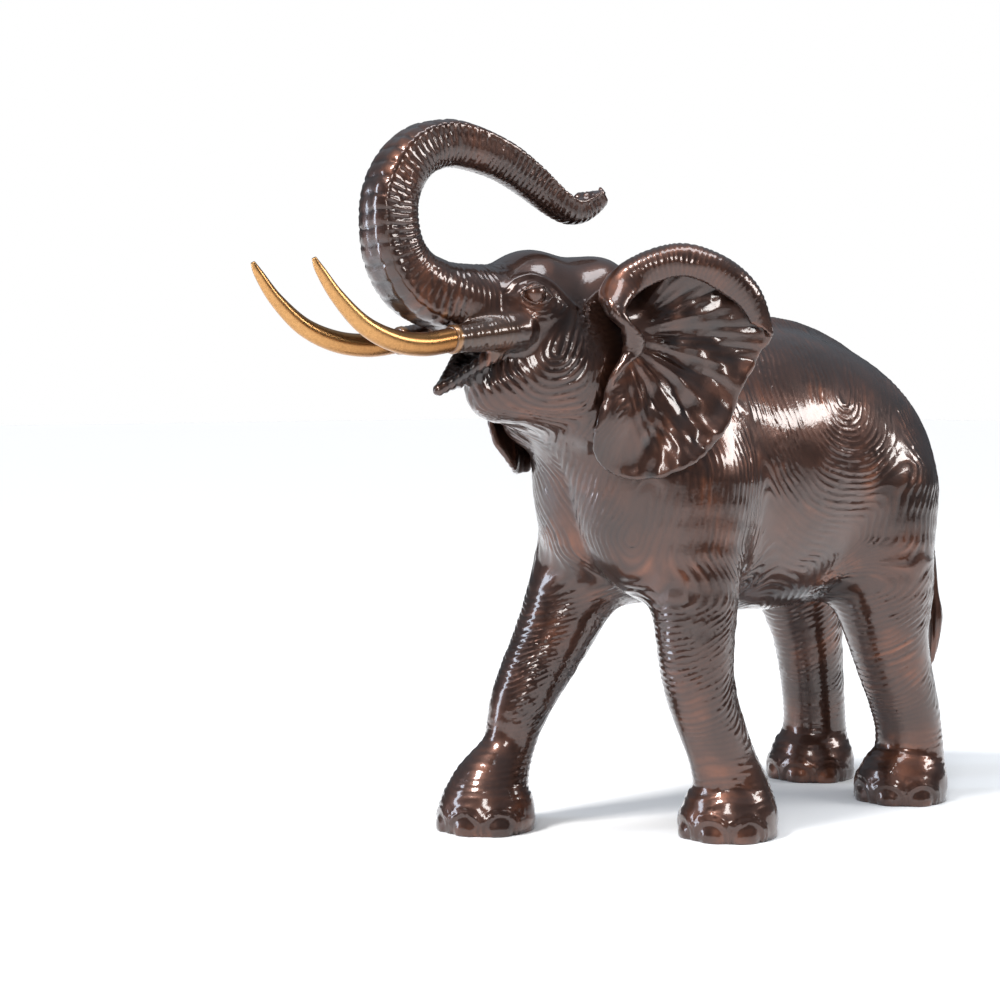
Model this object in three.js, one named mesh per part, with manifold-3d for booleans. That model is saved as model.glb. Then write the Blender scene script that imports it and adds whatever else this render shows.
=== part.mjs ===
// Bronze elephant striding out with its trunk thrown back over its head: one casting, and two
// golden bronze tusks, each seated in a blind socket in its sheath.
//
// The body, legs and head are sculpted as a distance field: eggs and cones joined by soft blends,
// as wax is pressed on to a model. The field is skinned with a net of small faces, which is then
// thinned, so that broad flanks carry few faces and toes and eyes keep theirs. The trunk, the ears
// and the tail are swept or curved sheets with their own rings and folds, joined to the body.
//
// Millimetres. +X is the way the elephant walks, +Y its left, +Z up. The soles stand on z = 0, and
// the whole is moved at the end so that the origin is under the middle of its box.
import * as THREE from "three";
import { mergeVertices } from "three/addons/utils/BufferGeometryUtils.js";
import Module from "manifold-3d";

const wasm = await Module();
wasm.setup();

// ---- driving dimensions ----------------------------------------------------------------------
const CELL = 3; // grid of the first net
const BLOCK = 4; // cells along one side of a block that is tested as a whole
const BODY_TRIANGLES = 3500; // what the thinned body, legs and head keep
const SEAT_GAP = 0.3; // between a tusk and its socket
const GRID = [[-228, -132, -33], [348, 132, 474]]; // the box that holds the body, legs and head

const BRONZE = { color: 0x4a3026, roughness: 0.3, metalness: 0.6 };
const GOLD_BRONZE = { color: 0x9a6a35, roughness: 0.28, metalness: 0.9 };

// ---- small helpers -----------------------------------------------------------------------------
const mix = (a, b, t) => a + (b - a) * t;
const clamp = (x, low = 0, high = 1) => Math.min(Math.max(x, low), high);
const radians = THREE.MathUtils.degToRad;
const smooth = (low, high, x) => {
  const t = clamp((x - low) / (high - low));
  return t * t * (3 - 2 * t);
};
const dot = (a, b) => a[0] * b[0] + a[1] * b[1] + a[2] * b[2];
const less = (a, b) => [a[0] - b[0], a[1] - b[1], a[2] - b[2]];

// A smooth run of rows through the given rows, each a list of numbers, in equal steps between them.
function soften(rows, steps) {
  const row = (i) => rows[clamp(i, 0, rows.length - 1)];
  const run = [];
  for (let i = 0; i < rows.length - 1; i++)
    for (let step = 0; step < steps; step++) {
      const t = step / steps;
      const weights = [
        ((2 - t) * t - 1) * t * 0.5,
        ((3 * t - 5) * t * t + 2) * 0.5,
        ((4 - 3 * t) * t + 1) * t * 0.5,
        (t - 1) * t * t * 0.5,
      ];
      run.push(rows[0].map((_, k) => weights.reduce((sum, w, j) => sum + w * row(i + j - 1)[k], 0)));
    }
  run.push(rows[rows.length - 1]);
  return run;
}

// ---- the field's soft solids: each gives the distance from p, negative inside ----------------
const join = (a, b, k) => {
  const h = Math.max(k - Math.abs(a - b), 0) / k;
  return Math.min(a, b) - (h * h * h * k) / 6;
};
const carve = (a, b, k) => -join(-a, b, k);

const ball = (p, c, r) => Math.hypot(p[0] - c[0], p[1] - c[1], p[2] - c[2]) - r;

const egg = (p, c, r) => {
  const x = p[0] - c[0];
  const y = p[1] - c[1];
  const z = p[2] - c[2];
  const near = Math.hypot(x / r[0], y / r[1], z / r[2]);
  const far = Math.hypot(x / r[0] ** 2, y / r[1] ** 2, z / r[2] ** 2);
  return far > 0 ? (near * (near - 1)) / far : -Math.min(...r);
};

// A round cone between two points [x, y, z, radius].
const cone = (p, a, b) => {
  const along = less(b, a);
  const from = less(p, a);
  const t = clamp(dot(from, along) / dot(along, along));
  const off = Math.hypot(from[0] - along[0] * t, from[1] - along[1] * t, from[2] - along[2] * t);
  return off - mix(a[3], b[3], t);
};

const limb = (p, rows) => {
  let d = 1e9;
  for (let i = 1; i < rows.length; i++) d = Math.min(d, cone(p, rows[i - 1], rows[i]));
  return d;
};

// ---- torso -------------------------------------------------------------------------------------
const SPINE = soften(
  [[70, 0, 372, 13], [10, 0, 382, 12], [-60, 0, 381, 11], [-130, 0, 355, 11], [-186, 0, 306, 12]],
  3,
);

const torso = (p) => {
  const side = [p[0], Math.abs(p[1]), p[2]];
  let d = egg(p, [-20, 0, 273], [174, 91, 114]); // barrel
  d = join(d, egg(side, [96, 22, 262], [88, 60, 90]), 36); // shoulders
  d = join(d, egg(side, [-102, 26, 256], [79, 59, 84]), 36); // haunches
  d = join(d, cone(p, [105, 0, 304, 76], [188, 0, 356, 56]), 40); // neck
  return join(d, limb(p, SPINE), 16);
};

// ---- legs: rows [x, y, z, radius] from the shoulder or hip to the ankle ----------------------
const SOLE = { radius: 38, rim: 11 };
const HEEL = { height: 30, radius: 30 };
const NAIL = { radii: [6.5, 9, 10], height: 6, sunk: 2, turns: [-66, -23, 23, 66] }; // in degrees
const BAND = { pitch: 15, depth: 0.9, fades: [215, 145], starts: [22, 40] }; // wrinkles round the legs
const LEGS = [
  {
    rows: [[104, 50, 262, 46], [112, 62, 180, 33], [111, 66, 118, 27], [89, 68, 62, 25]],
    sole: [81, 69],
    heel: 3, // how far the heel stands behind the middle of the sole
  },
  {
    rows: [[100, -46, 250, 46], [140, -56, 160, 32], [174, -63, 98, 24.5], [186, -66, 61, 20.5]],
    sole: [205, -69],
    heel: 3,
  },
  {
    rows: [[-104, 46, 250, 54], [-104, 58, 186, 43], [-114, 60, 130, 32], [-138, 60, 66, 27.5]],
    sole: [-133, 59],
    heel: 8,
  },
  {
    rows: [[-118, -46, 250, 54], [-130, -56, 186, 42], [-146, -57, 124, 30], [-156, -58, 60, 27]],
    sole: [-154, -59],
    heel: 3,
  },
].map(({ rows, sole: [x, y], heel }) => ({
  rows: soften([...rows, [x - heel, y, HEEL.height, HEEL.radius], [x, y, SOLE.rim, SOLE.radius]], 5),
  middle: rows[2],
  sole: [x, y],
}));
const THIGH_FOLDS = [
  [[-62, 64, 214, 18], [-38, 54, 187, 5]],
  [[-62, -64, 214, 18], [-38, -54, 187, 5]],
  [[-128, 66, 172, 14], [-152, 67, 150, 3.5]],
];

const leg = (p, { rows }) => {
  const wave = Math.cos((2 * Math.PI * p[2]) / BAND.pitch);
  return limb(p, rows) - BAND.depth * wave * smooth(...BAND.fades, p[2]) * smooth(...BAND.starts, p[2]);
};

// ---- head --------------------------------------------------------------------------------------
const SHEATH = { root: [258, 28, 379, 14], rim: [318, 30, 372, 11], end: 319 };
const LIP = {
  root: [268, 0, 354, 11],
  corner: [268, 19, 364, 6.5],
  tip: [307, 0, 336.5, 3.6],
  mouth: [[262, 0, 378, 16], [306, 0, 347, 4]], // what is hollowed out above it
};
const EYE = { middle: [244.5, 31.5, 403], radius: 8.4, socket: 6 };
const TRUNK_ROOT = [[232, 0, 392, 37], [270, 0, 396, 31], [300, 0, 403, 25]];

const head = (p) => {
  const side = [p[0], Math.abs(p[1]), p[2]];
  let d = egg(p, [180, 0, 382], [52, 50, 52]); // skull
  d = join(d, ball(side, [171, 16, 407], 27.5), 14); // the two bumps on the crown
  d = join(d, egg(p, [249, 0, 337], [28, 23, 24]), 10); // chin
  d = join(d, egg(p, [222, 0, 402], [38, 35, 37]), 24); // brow
  d = join(d, egg(side, [206, 14, 347], [50, 33, 39]), 24); // cheeks
  d = join(d, limb(p, TRUNK_ROOT), 16);
  d = join(d, Math.max(cone(side, SHEATH.root, SHEATH.rim), p[0] - SHEATH.end), 16);
  let lip = join(cone(p, LIP.root, LIP.tip), cone(side, LIP.corner, LIP.tip), 5);
  lip = carve(lip, cone(p, ...LIP.mouth), 4);
  d = join(d, lip, 7);
  const socket = [EYE.middle[0], EYE.middle[1] + EYE.socket, EYE.middle[2]];
  return carve(d, ball(side, socket, EYE.radius), 3);
};

// ---- the body's field --------------------------------------------------------------------------
// Each form has a ball around it, so that points far from it can pass it over.
const FORMS = [
  { solid: torso, middle: [0, 0, 280], reach: 260, blend: 1 },
  ...THIGH_FOLDS.map(([a, b]) => ({ solid: (p) => cone(p, a, b), middle: b, reach: 60, blend: 10 })),
  ...LEGS.map((each) => ({ solid: (p) => leg(p, each), middle: each.middle, reach: 220, blend: 28 })),
  { solid: head, middle: [235, 0, 390], reach: 120, blend: 26 },
];

const body = (p) => {
  let d = 1e9;
  for (const { solid, middle, reach, blend } of FORMS) {
    if (ball(p, middle, reach) < d + blend) d = join(d, solid(p), blend);
  }
  return d;
};

// ---- skinning the field --------------------------------------------------------------------------
// The field is sampled on a grid, but only in blocks that the surface may cross.
function sample(field, low, high, step) {
  const [nx, ny, nz] = low.map((v, axis) => Math.ceil((high[axis] - v) / step / BLOCK) * BLOCK + 1);
  const values = new Float32Array(nx * ny * nz).fill(NaN);
  const reach = BLOCK * step * 1.5;
  const far = [];
  const at = (i, j, k) => field([low[0] + i * step, low[1] + j * step, low[2] + k * step]);
  const eachPoint = (i, j, k, act) => {
    for (let c = k; c <= k + BLOCK; c++)
      for (let b = j; b <= j + BLOCK; b++)
        for (let a = i; a <= i + BLOCK; a++) {
          const slot = (c * ny + b) * nx + a;
          if (Number.isNaN(values[slot])) values[slot] = act(a, b, c);
        }
  };
  for (let k = 0; k < nz - 1; k += BLOCK)
    for (let j = 0; j < ny - 1; j += BLOCK)
      for (let i = 0; i < nx - 1; i += BLOCK) {
        const half = BLOCK / 2;
        const d = at(i + half, j + half, k + half);
        if (Math.abs(d) > reach) far.push([i, j, k, d]);
        else eachPoint(i, j, k, at);
      }
  for (const [i, j, k, d] of far) eachPoint(i, j, k, () => d);
  return { values, nx, ny, nz };
}

// Where a cell's face has two inside corners and two outside ones, each pair across a diagonal, the
// skin would touch itself along an edge. The outside pair is filled in until no such face is left.
function closeDiagonals({ values, nx, ny }) {
  const last = values.length - nx * ny - nx - 1;
  const planes = [[1, nx], [nx, nx * ny], [nx * ny, 1]];
  let found = true;
  while (found) {
    found = false;
    for (let at = 0; at < last; at++)
      for (const [s, t] of planes) {
        const inside = values[at] < 0;
        if (values[at + s + t] < 0 !== inside) continue;
        if (values[at + s] < 0 === inside || values[at + t] < 0 === inside) continue;
        for (const corner of inside ? [at + s, at + t] : [at, at + s + t]) values[corner] = -0.01;
        found = true;
      }
  }
}

// One vertex for each cell that the surface crosses, at the mean of the crossings on its edges, and
// one pair of faces for each grid edge that it crosses.
function net(field, low, high, step) {
  const grid = sample(field, low, high, step);
  closeDiagonals(grid);
  const { values, nx, ny, nz } = grid;
  const vertexOf = new Int32Array(values.length).fill(-1);
  const places = [];
  const shift = (c) => (c & 1) + ((c >> 1) & 1) * nx + ((c >> 2) & 1) * nx * ny;
  const edges = [];
  for (let c = 0; c < 8; c++)
    for (const axis of [0, 1, 2])
      if (!(c & (1 << axis))) edges.push({ c, axis, from: shift(c), to: shift(c | (1 << axis)) });
  for (let k = 0; k < nz - 1; k++)
    for (let j = 0; j < ny - 1; j++)
      for (let i = 0; i < nx - 1; i++) {
        const base = (k * ny + j) * nx + i;
        let crossings = 0;
        const sum = [0, 0, 0];
        for (const { c, axis, from, to } of edges) {
          const a = values[base + from];
          const b = values[base + to];
          if (a < 0 === b < 0) continue;
          sum[0] += c & 1;
          sum[1] += (c >> 1) & 1;
          sum[2] += (c >> 2) & 1;
          sum[axis] += a / (a - b);
          crossings++;
        }
        if (!crossings) continue;
        vertexOf[base] = places.length / 3;
        [i, j, k].forEach((cell, axis) => places.push(low[axis] + (cell + sum[axis] / crossings) * step));
      }
  const faces = [];
  const turns = [[1, nx, nx * ny], [nx, nx * ny, 1], [nx * ny, 1, nx]];
  for (let base = nx * ny + nx + 1; base < values.length - nx * ny; base++)
    for (const [along, side, up] of turns) {
      const inside = values[base] < 0;
      if (inside === values[base + along] < 0) continue;
      const ring = [base, base - side, base - side - up, base - up].map((cell) => vertexOf[cell]);
      if (!inside) ring.reverse();
      faces.push(ring[0], ring[1], ring[2], ring[0], ring[2], ring[3]);
    }
  return { places, faces };
}

// ---- thinning the net ----------------------------------------------------------------------------
// Edges are drawn together in the order of the error that it makes against the planes of the faces
// around them, until so many triangles are left. The heap keeps the least costly edge on top.
const THINNING = {
  span: 4e-4, // the price of a long edge, beside the error
  turn: 0.3, // the least cosine between a face's normals before and after
  sliver: 0.02, // the least area of a face that is left, doubled
  curved: 1e-3, // how far from flat the planes must be to meet in one place
};

class Heap {
  constructor() {
    this.items = [];
  }
  push(item) {
    const items = this.items;
    let i = items.push(item) - 1;
    while (i > 0) {
      const parent = (i - 1) >> 1;
      if (items[parent].cost <= items[i].cost) break;
      [items[parent], items[i]] = [items[i], items[parent]];
      i = parent;
    }
  }
  pop() {
    const items = this.items;
    const top = items[0];
    const last = items.pop();
    if (!items.length) return top;
    items[0] = last;
    let i = 0;
    for (;;) {
      let least = i;
      for (const child of [2 * i + 1, 2 * i + 2])
        if (child < items.length && items[child].cost < items[least].cost) least = child;
      if (least === i) return top;
      [items[least], items[i]] = [items[i], items[least]];
      i = least;
    }
  }
}

const cross = (u, v) => [u[1] * v[2] - u[2] * v[1], u[2] * v[0] - u[0] * v[2], u[0] * v[1] - u[1] * v[0]];
const normalOf = (a, b, c) => cross(less(b, a), less(c, a));

// The sum of the squared distances from a place to the planes that a quadric holds.
const errorAt = (q, [x, y, z]) => {
  const squares = q[0] * x * x + q[4] * y * y + q[7] * z * z + q[9];
  return squares + 2 * (q[1] * x * y + q[2] * x * z + q[3] * x + q[5] * y * z + q[6] * y + q[8] * z);
};

// The place of least error near an edge, or the best of its ends and its middle.
const bestPlace = (q, a, b) => {
  const rows = [[q[0], q[1], q[2]], [q[1], q[4], q[5]], [q[2], q[5], q[7]]];
  const right = [-q[3], -q[6], -q[8]];
  const minors = cross(rows[1], rows[2]);
  const det = dot(rows[0], minors);
  const middle = a.map((v, i) => (v + b[i]) / 2);
  const span = Math.hypot(...less(a, b));
  if (Math.abs(det) > THINNING.curved * span) {
    const place = [0, 1, 2].map((column) => {
      const [r0, r1, r2] = rows.map((row, i) => row.map((v, j) => (j === column ? right[i] : v)));
      return dot(r0, cross(r1, r2)) / det;
    });
    if (Math.hypot(...less(place, middle)) < span) return place;
  }
  return [a, b, middle].sort((u, v) => errorAt(q, u) - errorAt(q, v))[0];
};

function thin({ places, faces }, wanted) {
  const points = Array.from({ length: places.length / 3 }, (_, v) => places.slice(3 * v, 3 * v + 3));
  const triangles = Array.from({ length: faces.length / 3 }, (_, f) => faces.slice(3 * f, 3 * f + 3));
  const around = points.map(() => new Set());
  const quadrics = points.map(() => new Float64Array(10));
  const stamp = new Int32Array(points.length);
  triangles.forEach((triangle, f) => {
    const n = normalOf(...triangle.map((v) => points[v]));
    const area = Math.hypot(...n) || 1e-12;
    const [x, y, z] = n.map((v) => v / area);
    const w = -dot([x, y, z], points[triangle[0]]);
    const plane = [x * x, x * y, x * z, x * w, y * y, y * z, y * w, z * z, z * w, w * w];
    for (const v of triangle) {
      around[v].add(f);
      for (let i = 0; i < 10; i++) quadrics[v][i] += plane[i] * area;
    }
  });
  const heap = new Heap();
  const offer = (a, b) => {
    const q = quadrics[a].map((v, i) => v + quadrics[b][i]);
    const place = bestPlace(q, points[a], points[b]);
    const span = Math.hypot(...less(points[a], points[b]));
    const cost = errorAt(q, place) + THINNING.span * span ** 3;
    heap.push({ cost, a, b, place, stamps: stamp[a] + stamp[b] });
  };
  const neighbours = (v) => {
    const found = new Set();
    for (const f of around[v]) for (const w of triangles[f]) if (w !== v) found.add(w);
    return found;
  };
  const foldsOver = (v, place, going) => {
    for (const f of around[v]) {
      if (going.includes(f)) continue;
      const before = normalOf(...triangles[f].map((w) => points[w]));
      const after = normalOf(...triangles[f].map((w) => (w === v ? place : points[w])));
      const size = Math.hypot(...after);
      if (size < THINNING.sliver) return true;
      if (dot(before, after) < THINNING.turn * Math.hypot(...before) * size) return true;
    }
    return false;
  };
  for (const [a, b, c] of triangles) for (const [u, v] of [[a, b], [b, c], [c, a]]) if (u < v) offer(u, v);
  let left = triangles.length;
  while (left > wanted && heap.items.length) {
    const { a, b, place, stamps } = heap.pop();
    if (!around[a].size || !around[b].size || stamp[a] + stamp[b] !== stamps) continue;
    const near = neighbours(a);
    const shared = [...neighbours(b)].filter((v) => near.has(v));
    const going = [...around[a]].filter((f) => around[b].has(f));
    if (shared.length !== 2 || going.length !== 2) continue;
    if (foldsOver(a, place, going) || foldsOver(b, place, going)) continue;
    for (const f of going) for (const v of triangles[f]) around[v].delete(f);
    left -= going.length;
    for (const f of around[b]) {
      triangles[f] = triangles[f].map((v) => (v === b ? a : v));
      around[a].add(f);
    }
    around[b].clear();
    points[a] = place;
    for (let i = 0; i < 10; i++) quadrics[a][i] += quadrics[b][i];
    stamp[a]++;
    for (const v of neighbours(a)) offer(a, v);
  }
  const kept = new Map();
  const thinned = { places: [], faces: [] };
  triangles.forEach((triangle, f) => {
    if (!around[triangle[0]].has(f)) return;
    for (const v of triangle) {
      if (!kept.has(v)) {
        kept.set(v, kept.size);
        thinned.places.push(...points[v]);
      }
      thinned.faces.push(kept.get(v));
    }
  });
  return thinned;
}

// ---- solids --------------------------------------------------------------------------------------
const solidOf = ({ places, faces }) => {
  const [vertProperties, triVerts] = [Float32Array.from(places), Uint32Array.from(faces)];
  return new wasm.Manifold(new wasm.Mesh({ numProp: 3, vertProperties, triVerts }));
};

const geometryOf = (solid) => {
  const { vertProperties, triVerts } = solid.getMesh();
  return new THREE.BufferGeometry()
    .setAttribute("position", new THREE.BufferAttribute(vertProperties, 3))
    .setIndex(new THREE.BufferAttribute(triVerts, 1));
};

// A closed mesh through equal rings of points, with a fan over each end.
function skin(rings) {
  const sides = rings[0].length;
  const places = rings.flat(2);
  const faces = [];
  const last = (rings.length - 1) * sides;
  for (let j = 0; j < sides; j++) {
    const next = (j + 1) % sides;
    for (let i = 0; i < last; i += sides) {
      faces.push(i + j, i + next, i + sides + next);
      faces.push(i + j, i + sides + next, i + sides + j);
    }
  }
  const ends = [rings[0], rings[rings.length - 1]].map((ring) =>
    [0, 1, 2].map((axis) => ring.reduce((sum, point) => sum + point[axis], 0) / sides),
  );
  places.push(...ends.flat());
  const hub = rings.length * sides;
  for (let j = 0; j < sides; j++) {
    const next = (j + 1) % sides;
    faces.push(hub, next, j);
    faces.push(hub + 1, last + j, last + next);
  }
  return { places, faces };
}

// The same mesh on the elephant's other side.
const across = ({ places, faces }) => ({
  places: places.map((v, i) => (i % 3 === 1 ? -v : v)),
  faces: [...faces].reverse(),
});

// ---- trunk ---------------------------------------------------------------------------------------
// Rows [x, z, half depth, half width] along its middle, from the face to the tip.
const TRUNK = {
  rows: [
    [288, 400, 24, 23], [315, 407, 24.5, 23], [331, 416, 23, 21.5], [342, 430, 21.5, 19.5],
    [347, 446, 20.5, 18], [348, 465, 20, 17], [344, 480, 19.5, 16.5], [335, 494, 19, 16],
    [323, 504, 18.3, 15.6], [310, 509, 17.7, 15.2], [295, 511, 17, 14.8], [273, 508, 16, 14],
    [248, 501, 14.6, 13.2], [225, 490, 13.2, 12.2], [208, 480, 12, 11.2], [195, 473, 11, 10.4],
    [183, 469, 10.3, 9.8], [171, 470, 9.6, 9.2], [160, 475, 8.6, 8.6], [151, 481, 7, 8],
  ],
  sides: 10,
  ring: 9.5, // from one wrinkle to the next
  groove: 1.3,
  round: 2.1, // how square the section is on top, where 2 is an ellipse
  flat: 3.4, // and on its underside
  ridge: 0.9, // along both edges of the underside
  ridgeAt: 0.62, // cosine of the angle at which it stands
};

function trunk() {
  const run = soften(TRUNK.rows, 8);
  const lengths = [0];
  for (let i = 1; i < run.length; i++)
    lengths.push(lengths[i - 1] + Math.hypot(run[i][0] - run[i - 1][0], run[i][1] - run[i - 1][1]));
  const total = lengths[lengths.length - 1];
  const rowAt = (s) => {
    const i = clamp(lengths.findIndex((length) => length >= s), 1, run.length - 1);
    const t = (s - lengths[i - 1]) / (lengths[i] - lengths[i - 1]);
    return run[i].map((v, k) => mix(run[i - 1][k], v, t));
  };
  const halves = 2 * Math.round(total / TRUNK.ring);
  const rings = [];
  for (let step = 0; step <= halves; step++) {
    const s = (total * step) / halves;
    const [x, z, deep, wide] = rowAt(s);
    const [xa, za] = rowAt(Math.max(s - 1, 0));
    const [xb, zb] = rowAt(Math.min(s + 1, total));
    const length = Math.hypot(xb - xa, zb - za);
    const under = [(zb - za) / length, -(xb - xa) / length];
    const grow = step % 2 ? TRUNK.groove / 2 : -TRUNK.groove / 2;
    rings.push(
      Array.from({ length: TRUNK.sides }, (_, j) => {
        const a = (2 * Math.PI * (j + 0.5)) / TRUNK.sides;
        const n = mix(TRUNK.round, TRUNK.flat, smooth(-0.4, 0.4, Math.cos(a)));
        const size = (Math.abs(Math.cos(a)) ** n + Math.abs(Math.sin(a)) ** n) ** (-1 / n);
        const edge = TRUNK.ridge * smooth(0.25, 0.05, Math.abs(Math.cos(a) - TRUNK.ridgeAt));
        const u = (deep + grow + edge) * size * Math.cos(a);
        const v = (wide + grow + edge) * size * Math.sin(a);
        return [x + under[0] * u, v, z + under[1] * u];
      }),
    );
  }
  return skin(rings);
}

// ---- ears ----------------------------------------------------------------------------------------
// The ear is a curved sheet on a plane that stands out from the head. s runs outwards on the plane,
// t upwards, and n is the height off it, towards the front.
const EAR = {
  at: [184, 44, 378],
  flare: 38, // degrees between the plane and the way the elephant walks
  thick: 5.4,
  bowl: 0.0016, // curvature of the hollow sheet
  sunk: 7, // how far the sheet's middle lies behind the plane
  front: 25, // how far its inner edge stands forward, over the cheek
  fold: 2.4, // height of the folds that fan down from the root
  folds: 14, // how many of them would go all the way round
  root: [4, -2], // where they fan from
  roll: 12.5, // radius of the rolled upper rim
  narrow: 0.45, // what is left of that radius at the rim's outer end
  curl: 215, // degrees that the rolled rim turns through
  rolled: [0, 168], // where the rolled rim begins and ends, in degrees from the outer side
  middle: [48, -16],
  rays: 36,
  rows: 6,
};
const EAR_OUTLINE = [
  [-6, 28], [6, 45], [30, 58], [56, 62], [84, 52], [106, 33], [115, 8], [112, -14], [98, -42],
  [90, -64], [70, -90], [40, -105], [14, -106], [-4, -98], [-13, -82], [-9, -58], [2, -36], [11, -12],
  [8, 4], [-2, 15],
];

const earHeight = (s, t) => {
  const [ds, dt] = [s - EAR.root[0], t - EAR.root[1]];
  const angle = Math.atan2(dt, ds);
  const low = smooth(0.1, -0.35, Math.sin(angle));
  const folds = EAR.fold * Math.cos(angle * EAR.folds + 0.4) * smooth(25, 60, Math.hypot(ds, dt)) * low;
  const front = EAR.front * smooth(52, -2, s) * smooth(-78, -50, t) * smooth(42, 6, t);
  const off = Math.hypot(s - EAR.middle[0], t - EAR.middle[1]);
  return EAR.bowl * off ** 2 - EAR.sunk - 0.05 * t + front + folds;
};

// One row of points from the middle of the ear to its rim, and on round the rolled edge.
function earRay(rim) {
  const [s0, t0] = EAR.middle;
  const around = Math.atan2(rim.y - t0, rim.x - s0);
  const [from, to] = EAR.rolled.map(radians);
  const rolled = smooth(from, from + radians(25), around) * smooth(to, to - radians(28), around);
  const radius = EAR.roll * mix(EAR.narrow, 1, smooth(radians(5), radians(60), around));
  const reach = Math.hypot(rim.x - s0, rim.y - t0);
  const flat = reach - radius * rolled;
  const whole = flat + radius * radians(EAR.curl) * rolled;
  return Array.from({ length: EAR.rows }, (_, row) => {
    const along = (whole * (row + 1)) / EAR.rows;
    const angle = Math.max(along - flat, 0) / radius;
    const out = (Math.min(along, flat) + radius * Math.sin(angle)) / reach;
    const s = mix(s0, rim.x, out);
    const t = mix(t0, rim.y, out);
    return [s, t, earHeight(s, t) + radius * (1 - Math.cos(angle))];
  });
}

// The left ear: a front and a back sheet, joined round the rim.
function ear() {
  const { rays, rows, at, thick } = EAR;
  const flare = radians(EAR.flare);
  const place = ([s, t, n]) => [
    at[0] - s * Math.cos(flare) + n * Math.sin(flare),
    at[1] + s * Math.sin(flare) + n * Math.cos(flare),
    at[2] + t,
  ];
  const points = EAR_OUTLINE.map(([s, t]) => new THREE.Vector3(s, t, 0));
  const outline = new THREE.CatmullRomCurve3(points, true, "centripetal");
  const sheet = Array.from({ length: rays }, (_, ray) => earRay(outline.getPointAt(ray / rays)));
  const middle = [...EAR.middle, earHeight(...EAR.middle)];
  const point = (ray, row) => (row < 0 ? middle : sheet[(ray + rays) % rays][Math.min(row, rows - 1)]);
  const upright = (ray, row) => {
    const out = less(point(ray, row + 1), point(ray, row - 1));
    const n = cross(out, less(point(ray + 1, row), point(ray - 1, row)));
    return n.map((v) => v / Math.hypot(...n));
  };
  const places = [];
  for (const half of [thick / 2, -thick / 2]) {
    places.push(...place([middle[0], middle[1], middle[2] + half]));
    for (let ray = 0; ray < rays; ray++)
      for (let row = 0; row < rows; row++) {
        const n = upright(ray, row);
        places.push(...place(point(ray, row).map((v, axis) => v - half * n[axis])));
      }
  }
  const back = places.length / 6;
  const index = (ray, row) => 1 + (ray % rays) * rows + row;
  const faces = [];
  const bothSides = (a, b, c) => faces.push(a, c, b, back + a, back + b, back + c);
  for (let ray = 0; ray < rays; ray++) {
    bothSides(0, index(ray, 0), index(ray + 1, 0));
    for (let row = 0; row < rows - 1; row++) {
      const far = index(ray + 1, row + 1);
      bothSides(index(ray, row), index(ray, row + 1), far);
      bothSides(index(ray, row), far, index(ray + 1, row));
    }
    const [edge, next] = [index(ray, rows - 1), index(ray + 1, rows - 1)];
    faces.push(edge, back + next, back + edge, edge, next, back + next);
  }
  return { places, faces };
}

// ---- tail ----------------------------------------------------------------------------------------
const TAIL = [
  [-168, 0, 318, 12], [-196, 0, 306, 9], [-215, 1, 278, 6.5], [-228, 3, 238, 5], [-233, 6, 190, 4.5],
  [-235, 8, 160, 4.6], [-236, 9, 138, 6.8], [-233, 9, 112, 4.6], [-230, 8, 92, 1.2],
];

// A round bar through rows [x, y, z, radius].
function bar(rows, steps, sides) {
  const run = soften(rows, steps);
  const rings = run.map(([x, y, z, radius], i) => {
    const ahead = less(run[Math.min(i + 1, run.length - 1)], run[Math.max(i - 1, 0)]);
    const level = cross(ahead, [0, 1, 0]);
    const out = level.map((v) => v / Math.hypot(...level));
    const up = cross(ahead, out).map((v) => v / Math.hypot(...ahead));
    return Array.from({ length: sides }, (_, j) => {
      const a = (2 * Math.PI * j) / sides;
      const [c, s] = [radius * Math.cos(a), radius * Math.sin(a)];
      return [x, y, z].map((v, axis) => v + out[axis] * c + up[axis] * s);
    });
  });
  return skin(rings);
}

// ---- eyes ----------------------------------------------------------------------------------------
// Lids, the brow and a bag under the eye are bars along arcs: [width, height, thickness, from, to].
const EYE_FOLDS = [
  [10, 6.2, 1.7, -8, 190],
  [9.4, 6.6, 1.3, 190, 350],
  [17, 11, 2.4, 4, 172],
  [13.5, 12, 1.4, 205, 335],
];
const LID = { out: 5, bulge: 0.02, lean: 0.1, steps: 6 };

const eyeFold = ([width, height, thick, from, to]) => {
  const arc = [];
  for (let step = 0; step <= LID.steps; step++) {
    const a = radians(mix(from, to, step / LID.steps));
    const [x, z] = [width * Math.cos(a), height * Math.sin(a)];
    const y = EYE.middle[1] + LID.out - LID.bulge * z * z - LID.lean * x;
    const radius = thick * mix(0.55, 1, Math.sin((Math.PI * step) / LID.steps));
    arc.push([EYE.middle[0] + x, y, EYE.middle[2] + z, radius]);
  }
  return arc;
};

// ---- tusks ---------------------------------------------------------------------------------------
const TUSK = [
  [300, 30.5, 374, 7.6], [318, 30, 372, 8.4], [345, 31, 368.5, 8.3], [372, 33, 371, 7.6],
  [398, 35, 381, 6.4], [420, 36, 399, 4.9], [434, 36, 416, 3.4], [439, 36, 424, 1.6],
];
const SOCKET = TUSK.slice(0, 3).map(([x, y, z, r], i) => [x - (i ? 0 : SEAT_GAP), y, z, r + SEAT_GAP]);

// ---- the sculpture -------------------------------------------------------------------------------
const meshOf = (geometry) => {
  geometry.deleteAttribute("normal");
  geometry.deleteAttribute("uv");
  const merged = mergeVertices(geometry);
  return { places: [...merged.getAttribute("position").array], faces: [...merged.index.array] };
};

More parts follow.
